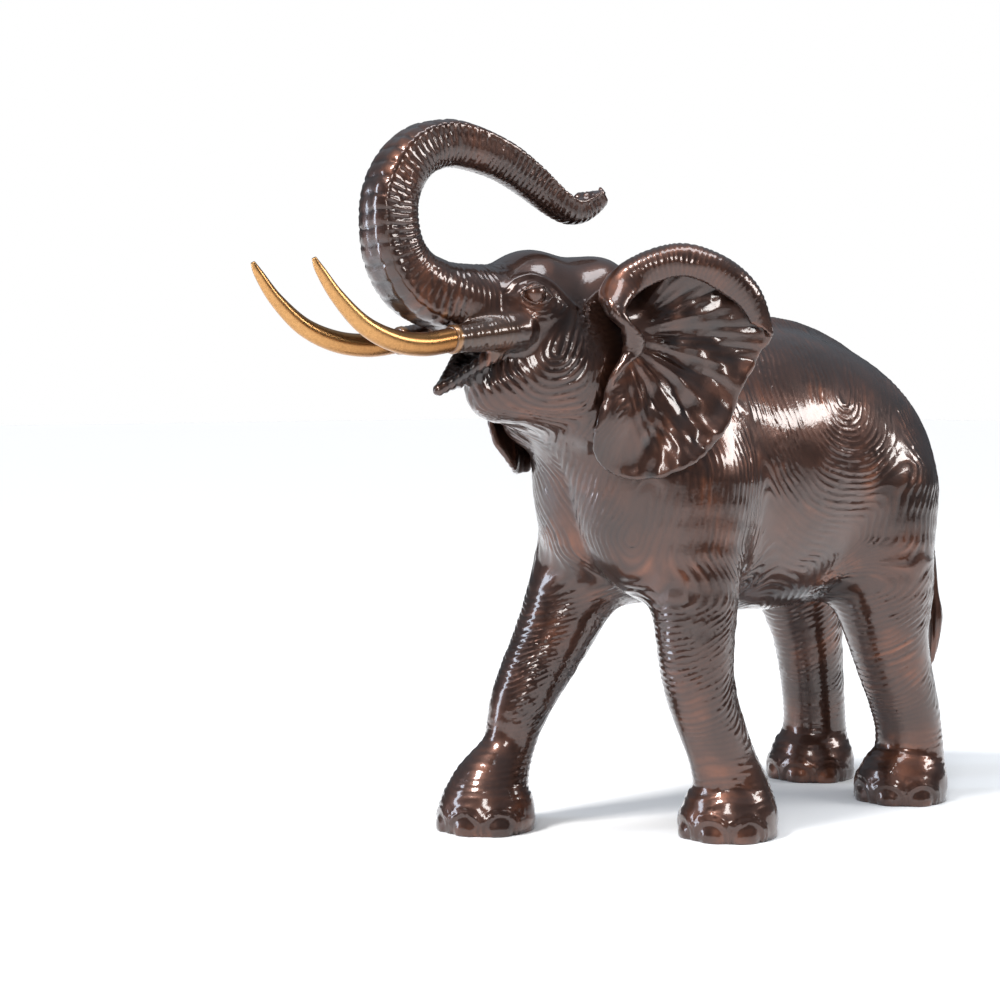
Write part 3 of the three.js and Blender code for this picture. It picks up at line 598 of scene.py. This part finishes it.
def about_eyes(p):
    side = to_left(p)
    local = np.stack([side[:, 0] - EYE[0], side[:, 2] - EYE[2]], 1)
    near = (np.hypot(local[:, 0], local[:, 1]) < 42) & (side[:, 1] > 18)
    height, strength = np.zeros(len(p)), np.zeros(len(p))
    for points, high, wide in EYE_FOLDS:
        line = soften(points, 5)
        height[near] = np.maximum(height[near], high * np.exp(-((off_line(local[near], line) / wide) ** 2)))
    strength[near] = smooth(36, 20, np.hypot(local[near, 0], local[near, 1] + 3))
    return height, strength


def nail_folds(p):
    height, on_nail = np.zeros(len(p)), np.zeros(len(p))
    low = p[:, 2] < 36
    for middle, turn in nail_places():
        c, s = math.cos(turn), math.sin(turn)
        off = (p[low] - middle) @ np.array([[c, -s, 0], [s, c, 0], [0, 0, 1]])
        reach = np.linalg.norm(off / NAIL_RADII, axis=1)
        ridges = sum(high * np.exp(-(((reach - out) / NAIL_RIDGE) ** 2)) for out, high in NAIL_RIDGES)
        height[low] = np.maximum(height[low], ridges)
        on_nail[low] = np.maximum(on_nail[low], smooth(1.14, 1.02, reach))
    return height, on_nail


# ---- the casting ---------------------------------------------------------------------------------------
# All of the wax is invested and cast as one hollow bronze. It is chased, given a dark umber patina,
# rubbed back to copper brown on the high strokes, and sealed under a clear gloss wax.
VOXEL = 1.2
CASTING_TRIANGLES = 190000
GRID = [[-228, -132, -33], [348, 132, 474]]
GRID_STEP = 2.0
SOLE_FLAT = 0.6  # what is lower than this is set flat on the ground


def in_metres(places):
    return (np.asarray(places) - [AHEAD, 0, 0]) / 1000


def in_millimetres(mesh):
    places = np.empty(len(mesh.vertices) * 3)
    mesh.vertices.foreach_get("co", places)
    return places.reshape(-1, 3) * 1000 + [AHEAD, 0, 0]


def piece_of(name, *skins):
    places, faces, start = [], [], 0
    for some_places, some_faces in skins:
        places.append(np.asarray(some_places))
        faces += [[v + start for v in face] for face in some_faces]
        start += len(some_places)
    mesh = bpy.data.meshes.new(name)
    mesh.from_pydata(in_metres(np.vstack(places)).tolist(), [], faces)
    mesh.update()
    made = bpy.data.objects.new(name, mesh)
    bpy.context.scene.collection.objects.link(made)
    return made


def settle(made, kind, **settings):
    """Adds one modifier to the piece and keeps its result as the piece's mesh."""
    modifier = made.modifiers.new("settle", kind)
    for setting, value in settings.items():
        setattr(modifier, setting, value)
    shown = made.evaluated_get(bpy.context.evaluated_depsgraph_get())
    result = bpy.data.meshes.new_from_object(shown)
    made.modifiers.clear()
    old, made.data = made.data, result
    bpy.data.meshes.remove(old)


def across(skin):
    places, faces = skin
    return places * [1, -1, 1], [face[::-1] for face in faces]


def normals_of(mesh):
    normals = np.empty(len(mesh.vertices) * 3, np.float32)
    mesh.vertex_normals.foreach_get("vector", normals)
    return normals.reshape(-1, 3)


left_ear = ear()
nails = [lump(middle, NAIL_RADII, turn) for middle, turn in nail_places()]
extras = [trunk(), bar(TRUNK_FINGER, 8, 20), *[bar(rows, 8, 20) for rows in TRUNK_LIPS], bar(TAIL, 14, 40)]
casting = piece_of("elephant_bronze", skin_of(body, *GRID, GRID_STEP), *extras, left_ear, across(left_ear), *nails)
settle(casting, "REMESH", mode="VOXEL", voxel_size=VOXEL / 1000, use_smooth_shade=True)
settle(casting, "SMOOTH", factor=0.5, iterations=2)

places = in_millimetres(casting.data)
height, _ = tooling(places)
sheath, _, rings = sheath_rings(places)
eye_height, eye_strength = about_eyes(places)
nail_height, on_nail = nail_folds(places)
on_ear, ear_height_here = ear_lines(places)
on_trunk, trunk_height = trunk_rings(places)
tail = smooth(-198, -212, places[:, 0])
height = height * (1 - sheath) * (1 - eye_strength) * (1 - on_nail) * (1 - tail)
height = height * (1 - on_ear) + ear_height_here * on_ear
height = height * (1 - on_trunk) + trunk_height * on_trunk
height += rings + eye_height * smooth(0, 0.3, eye_strength) + nail_height
round_tail = np.arctan2(places[:, 1] - TUFT[1], places[:, 0] - TUFT[0])
height -= 0.7 * tail * valleys(round_tail * TUFT_LOCKS / (2 * np.pi), 2)
places += normals_of(casting.data) * height[:, None]
places[:, 2] = np.where(places[:, 2] < SOLE_FLAT, 0, places[:, 2])
casting.data.vertices.foreach_set("co", in_metres(places).ravel())
casting.data.update()
settle(casting, "TRIANGULATE")
settle(casting, "DECIMATE", ratio=min(1, CASTING_TRIANGLES / len(casting.data.polygons)))

# The lids are beads of wax laid over the eyeballs: points forward of the eye's middle and above it.
LIDS = [
    ([[12.5, -2.6], [9, 2.2], [1, 4.9], [-8, 2.8], [-12.5, -2.8]], 1.3),
    ([[11.6, -3.2], [6, -6.2], [-2, -7.3], [-9, -5.4], [-12, -3]], 1.05),
]
surface = BVHTree.FromPolygons(
    [v.co for v in casting.data.vertices], [p.vertices for p in casting.data.polygons]
)


def lid(points, radius):
    rows = []
    for forward, up in soften(points, 4):
        x, z = EYE[0] + forward, EYE[2] + up
        start = Vector(in_metres([x, 90, z]).tolist())
        skin_y = surface.ray_cast(start, Vector((0, -1, 0)))[0].y * 1000
        ball_y = EYE[1] + math.sqrt(max(EYEBALL**2 - forward**2 - up**2, 0))
        end = 1 - abs(forward) / 16
        rows.append([x, max(skin_y, ball_y) + 0.1, z, radius * (0.45 + 0.55 * end)])
    return bar(rows, 2, 12)


left_eye = [lump(EYE, [EYEBALL] * 3), *[lid(points, radius) for points, radius in LIDS]]
eyes = left_eye + [across(skin) for skin in left_eye]
chased = (in_millimetres(casting.data), [list(p.vertices) for p in casting.data.polygons])
unfinished, casting.name = casting, "unfinished"
casting = piece_of("elephant_bronze", chased, *eyes)
bpy.data.objects.remove(unfinished)

# Thinning moves some places outward, so all are held just inside the casting's true box, in metres.
INSIDE = 1e-5
held = np.empty(len(casting.data.vertices) * 3)
casting.data.vertices.foreach_get("co", held)
held = np.clip(held.reshape(-1, 3), cad_low + INSIDE, cad_high - INSIDE)
held[:, 2] = np.where(held[:, 2] < 3e-4, cad_low[2], held[:, 2])
casting.data.vertices.foreach_set("co", held.ravel())
casting.data.update()

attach(casting, "root")
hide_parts("elephant_casting")


def patina(name):
    """The umber patina, with copper brown on the high strokes, a dark stain in the grooves, and the same
    near-black inside the mouth.
    """
    made = bpy.data.materials.new(name)
    made.use_nodes = True
    nodes, links = made.node_tree.nodes, made.node_tree.links
    shader = nodes["Principled BSDF"]
    where = nodes.new("ShaderNodeTexCoord")
    marks = nodes.new("ShaderNodeAttribute")
    marks.attribute_name = "tooling"
    split = nodes.new("ShaderNodeSeparateColor")
    links.new(marks.outputs["Color"], split.inputs["Color"])

    def mottle(scale, detail, low, high):
        noise = nodes.new("ShaderNodeTexNoise")
        noise.inputs["Scale"].default_value = scale
        noise.inputs["Detail"].default_value = detail
        links.new(where.outputs["Object"], noise.inputs["Vector"])
        spread = nodes.new("ShaderNodeMapRange")
        spread.inputs["From Min"].default_value = low
        spread.inputs["From Max"].default_value = high
        links.new(noise.outputs["Fac"], spread.inputs["Value"])
        return spread.outputs["Result"]

    def blend(a, b, amount):
        mix = nodes.new("ShaderNodeMix")
        mix.data_type = "RGBA"
        for socket, value in (("A", a), ("B", b), ("Factor", amount)):
            target = [i for i in mix.inputs if i.name == socket and i.enabled][0]
            if isinstance(value, (tuple, float)):
                target.default_value = value
            else:
                links.new(value, target)
        return [o for o in mix.outputs if o.enabled][0]

    def times(a, b):
        math_node = nodes.new("ShaderNodeMath")
        math_node.operation = "MULTIPLY"
        for socket, value in zip(math_node.inputs, (a, b)):
            if isinstance(value, float):
                socket.default_value = value
            else:
                links.new(value, socket)
        return math_node.outputs["Value"]

    umber = blend((0.036, 0.017, 0.012, 1), (0.068, 0.028, 0.018, 1), mottle(16, 5, 0.35, 0.65))
    rubbed = blend(umber, (0.18, 0.060, 0.028, 1), times(split.outputs["Red"], mottle(30, 4, 0.45, 0.65)))
    # The grooves and the inside of the mouth are darkened towards near-black.
    darkened = blend(rubbed, (0.012, 0.009, 0.009, 1), times(split.outputs["Green"], 0.85))
    golden = blend(darkened, (0.42, 0.20, 0.065, 1), split.outputs["Blue"])
    links.new(golden, shader.inputs["Base Color"])
    shader.inputs["Metallic"].default_value = 0.75
    rough = nodes.new("ShaderNodeMapRange")
    rough.inputs["To Min"].default_value = 0.28
    rough.inputs["To Max"].default_value = 0.42
    links.new(mottle(60, 4, 0.3, 0.7), rough.inputs["Value"])
    links.new(rough.outputs["Result"], shader.inputs["Roughness"])
    shader.inputs["Coat Weight"].default_value = 1.0
    shader.inputs["Coat Roughness"].default_value = 0.07
    grain = nodes.new("ShaderNodeTexNoise")
    grain.inputs["Scale"].default_value = 420
    grain.inputs["Detail"].default_value = 5
    links.new(where.outputs["Object"], grain.inputs["Vector"])
    bump = nodes.new("ShaderNodeBump")
    bump.inputs["Strength"].default_value = 0.2
    bump.inputs["Distance"].default_value = 0.0004
    links.new(grain.outputs["Fac"], bump.inputs["Height"])
    links.new(bump.outputs["Normal"], shader.inputs["Normal"])
    links.new(bump.outputs["Normal"], shader.inputs["Coat Normal"])
    return made


def mark_tooling(made):
    """Writes where the bronze is rubbed, darkened (in the grooves and inside the mouth) or golden into the piece's
    own colours.
    """
    places = in_millimetres(made.data)
    height, phase = tooling(places)
    sheath, collar, rings = sheath_rings(places)
    _, on_nail = nail_folds(places)
    on_ear, ear_height_here = ear_lines(places)
    on_trunk, trunk_height = trunk_rings(places)
    height = height * (1 - on_ear) + ear_height_here * on_ear
    height = height * (1 - on_trunk) + trunk_height * on_trunk
    x, y, z = to_left(places).T
    # The inside of the mouth is darkened fully to the grooves' near-black.
    in_mouth = smooth(308, 302, x) * smooth(262, 268, x) * smooth(17, 13, y)
    in_mouth = in_mouth * smooth(374, 366, z) * smooth(338, 346, z)
    on_eye = smooth(EYEBALL + 0.6, EYEBALL + 0.2, ball(to_left(places), EYE, 0))
    streak = 0.5 + 0.5 * waver(np.stack([phase * 2.6, places[:, 2] / 30, places[:, 0] / 30], 1), 3.1, 11)
    patch = smooth(-0.5, 1.2, waver(places, 60, 12))
    rubbed = np.clip(0.1 + 0.9 * streak * patch + 0.5 * on_nail + 0.15 * on_eye, 0, 1)
    darkened = np.clip(-height * 0.7 - rings * 0.6 + in_mouth, 0, 1) * (1 - on_nail) * (1 - on_eye)
    colours = np.stack([rubbed, darkened, sheath * (0.05 + 0.5 * collar), np.ones(len(places))], 1)
    layer = made.data.color_attributes.new("tooling", "FLOAT_COLOR", "POINT")
    layer.data.foreach_set("color", colours.astype(np.float32).ravel())


mark_tooling(casting)
casting.data.materials.append(patina("umber_patina"))
casting.data.shade_smooth()

# ---- the tusks -----------------------------------------------------------------------------------------
# Two bars of golden bronze, cast apart, filed to a taper and polished, and seated in blind sockets in
# the sheaths at the corners of the mouth. They are left bright, and browner at the root.
TUSK = [
    [300, 30.5, 374, 7.6], [318, 30, 372, 8.4], [345, 31, 368.5, 8.3], [372, 33, 371, 7.6],
    [398, 35, 381, 6.4], [420, 36, 399, 4.9], [434, 36, 416, 3.4], [439, 36, 424, 1.6],
]


def golden_bronze():
    made = bpy.data.materials.new("golden_bronze")
    made.use_nodes = True
    nodes, links = made.node_tree.nodes, made.node_tree.links
    shader = nodes["Principled BSDF"]
    where = nodes.new("ShaderNodeTexCoord")
    speckle = nodes.new("ShaderNodeTexNoise")
    speckle.inputs["Scale"].default_value = 520
    speckle.inputs["Detail"].default_value = 4
    cloud = nodes.new("ShaderNodeTexNoise")
    cloud.inputs["Scale"].default_value = 45
    for noise in (speckle, cloud):
        links.new(where.outputs["Object"], noise.inputs["Vector"])
    split = nodes.new("ShaderNodeSeparateXYZ")
    links.new(where.outputs["Object"], split.inputs["Vector"])
    root = nodes.new("ShaderNodeMapRange")
    root.inputs["From Min"].default_value = (400 - AHEAD) / 1000
    root.inputs["From Max"].default_value = (318 - AHEAD) / 1000
    links.new(split.outputs["X"], root.inputs["Value"])
    tint = nodes.new("ShaderNodeValToRGB")
    tint.color_ramp.elements[0].color = (0.62, 0.33, 0.13, 1)
    tint.color_ramp.elements[1].color = (0.34, 0.15, 0.05, 1)
    links.new(root.outputs["Result"], tint.inputs["Fac"])
    darken = nodes.new("ShaderNodeMix")
    darken.data_type = "RGBA"
    darken.blend_type = "MULTIPLY"
    darken.inputs["Factor"].default_value = 0.5
    links.new(tint.outputs["Color"], darken.inputs[6])
    links.new(speckle.outputs["Fac"], darken.inputs[7])
    links.new(darken.outputs[2], shader.inputs["Base Color"])
    rough = nodes.new("ShaderNodeMapRange")
    rough.inputs["To Min"].default_value = 0.2
    rough.inputs["To Max"].default_value = 0.38
    links.new(cloud.outputs["Fac"], rough.inputs["Value"])
    links.new(rough.outputs["Result"], shader.inputs["Roughness"])
    shader.inputs["Metallic"].default_value = 1.0
    bump = nodes.new("ShaderNodeBump")
    bump.inputs["Strength"].default_value = 0.12
    bump.inputs["Distance"].default_value = 0.0004
    links.new(speckle.outputs["Fac"], bump.inputs["Height"])
    links.new(bump.outputs["Normal"], shader.inputs["Normal"])
    return made


gold = golden_bronze()
for node, turned in (("tusk_left", False), ("tusk_right", True)):
    skin = bar(TUSK, 16, 48)
    tusk = piece_of("golden_" + node, across(skin) if turned else skin)
    held = np.clip(in_metres(in_millimetres(tusk.data)), cad_low, cad_high)
    tusk.data.vertices.foreach_set("co", held.ravel())
    tusk.data.materials.append(gold)
    tusk.data.shade_smooth()
    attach(tusk, "root")
    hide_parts(node)

# ---- the studio --------------------------------------------------------------------------------------
# A plain pale floor, a soft sun from the upper left, and boxes of light overhead, in front and at each
# side, the left one cool. Sizes here are in metres.
FLOOR_REACH = 14
FLOOR_DROP = 0.0002
floor_mesh = bpy.data.meshes.new("floor")
corners = [(x * FLOOR_REACH, y * FLOOR_REACH, 0) for x, y in ((-1, -1), (1, -1), (1, 1), (-1, 1))]
floor_mesh.from_pydata(corners, [], [(0, 1, 2, 3)])
floor = bpy.data.objects.new("floor", floor_mesh)
bpy.context.scene.collection.objects.link(floor)
floor.location.z = cad_low[2] - FLOOR_DROP
paper = bpy.data.materials.new("pale_floor")
paper.use_nodes = True
paper.node_tree.nodes["Principled BSDF"].inputs["Base Color"].default_value = (0.93, 0.93, 0.94, 1)
paper.node_tree.nodes["Principled BSDF"].inputs["Roughness"].default_value = 0.6
floor.data.materials.append(paper)

world = bpy.data.worlds.new("studio")
bpy.context.scene.world = world
world.use_nodes = True
tree = world.node_tree
tree.nodes["Background"].inputs["Color"].default_value = (0.88, 0.94, 1.0, 1)
tree.nodes["Background"].inputs["Strength"].default_value = 0.5
plain = tree.nodes.new("ShaderNodeBackground")
plain.inputs["Color"].default_value = (1, 1, 1, 1)
# What the bronze mirrors is a dark studio with a bright ceiling.
ceiling = tree.nodes.new("ShaderNodeBackground")
ceiling.inputs["Color"].default_value = (0.78, 0.88, 1.0, 1)
way = tree.nodes.new("ShaderNodeTexCoord")
split_way = tree.nodes.new("ShaderNodeSeparateXYZ")
height_of_way = tree.nodes.new("ShaderNodeMapRange")
height_of_way.inputs["From Min"].default_value = 0.15
height_of_way.inputs["From Max"].default_value = 0.95
height_of_way.inputs["To Min"].default_value = 0.10
height_of_way.inputs["To Max"].default_value = 0.5
tree.links.new(way.outputs["Generated"], split_way.inputs["Vector"])
tree.links.new(split_way.outputs["Z"], height_of_way.inputs["Value"])
tree.links.new(height_of_way.outputs["Result"], ceiling.inputs["Strength"])
rays = tree.nodes.new("ShaderNodeLightPath")
mirrored = tree.nodes.new("ShaderNodeMixShader")
seen = tree.nodes.new("ShaderNodeMixShader")
tree.links.new(rays.outputs["Is Glossy Ray"], mirrored.inputs["Fac"])
tree.links.new(tree.nodes["Background"].outputs["Background"], mirrored.inputs[1])
tree.links.new(ceiling.outputs["Background"], mirrored.inputs[2])
tree.links.new(rays.outputs["Is Camera Ray"], seen.inputs["Fac"])
tree.links.new(mirrored.outputs["Shader"], seen.inputs[1])
tree.links.new(plain.outputs["Background"], seen.inputs[2])
tree.links.new(seen.outputs["Shader"], tree.nodes["World Output"].inputs["Surface"])

to_camera = Vector((0.643, 0.766, 0))
to_right = Vector((-0.766, 0.643, 0))
upright = Vector((0, 0, 1))
aim = Vector(((cad_low + cad_high) / 2).tolist())


# Each lamp: its kind, how far it stands towards the camera, to the right and up, then its power, its
# size and its colour.
LAMPS = {
    "key": ("SUN", (1.2, -1.5, 2.6), 3.0, math.radians(12), (1, 0.98, 0.95)),
    "overhead": ("AREA", (0.3, 0.2, 1.5), 11, (1.1, 0.4), (0.9, 0.95, 1)),
    "right_strip": ("AREA", (0.15, 1.7, 0.85), 13, (0.9, 0.3), (1, 0.99, 0.97)),
    "front_box": ("AREA", (1.7, -0.3, 0.7), 9, (0.3, 0.5), (1, 0.99, 0.97)),
    "left_box": ("AREA", (0.1, -1.7, 0.3), 14, (0.3, 1.2), (0.72, 0.84, 1)),
}
for name, (kind, (ahead, right, up), power, size, colour) in LAMPS.items():
    light = bpy.data.lights.new(name, kind)
    light.energy = power
    light.color = colour
    if kind == "SUN":
        light.angle = size
    else:
        light.shape = "RECTANGLE"
        light.size, light.size_y = size
    lamp = bpy.data.objects.new(name, light)
    bpy.context.scene.collection.objects.link(lamp)
    lamp.location = aim + to_camera * ahead + to_right * right + upright * up
    lamp.rotation_euler = (aim - lamp.location).to_track_quat("-Z", "Y").to_euler()

lens = bpy.data.cameras.new("camera")
lens.lens = 79.2
lens.sensor_width = 36
camera = bpy.data.objects.new("camera", lens)
bpy.context.scene.collection.objects.link(camera)
camera.location = Vector(((1276.6 - AHEAD) / 1000, 1.2234, 0.344))
tilt = math.radians(3.12)
looking = -to_camera * math.cos(tilt) - upright * math.sin(tilt)
camera.rotation_euler = looking.to_track_quat("-Z", "Y").to_euler()
bpy.context.scene.camera = camera
bpy.context.scene.view_settings.view_transform = "Standard"
